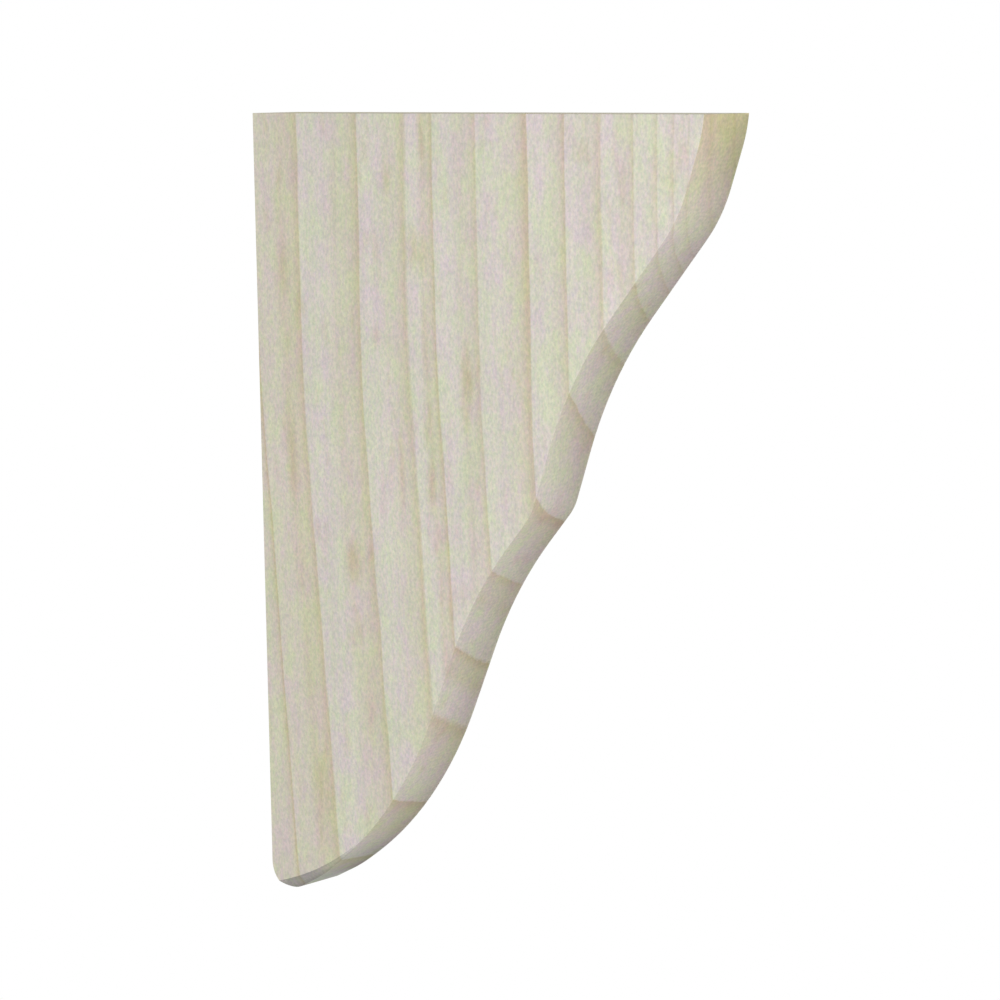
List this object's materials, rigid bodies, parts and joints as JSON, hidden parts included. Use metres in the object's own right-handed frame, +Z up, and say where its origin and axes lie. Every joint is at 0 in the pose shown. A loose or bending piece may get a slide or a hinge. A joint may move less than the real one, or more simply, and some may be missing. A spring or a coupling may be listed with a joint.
{
  "type": "wooden corbel bracket",
  "caption": "Flat wooden shelf bracket with a square back, a square top and a free edge sawn to a nose, hollows and a rounded toe.",
  "frame": {"origin": "middle of the flat back that goes against the wall, at mid-thickness", "axes": "+X runs out from the wall, +Z up, Y through the board's thickness"},
  "size_m": [0.1905, 0.019, 0.2552],
  "materials": {
    "pine": "bare, sanded, unfinished"
  },
  "bodies": {
    "root": {"bracket": "pine"}
  },
  "joints": []
}
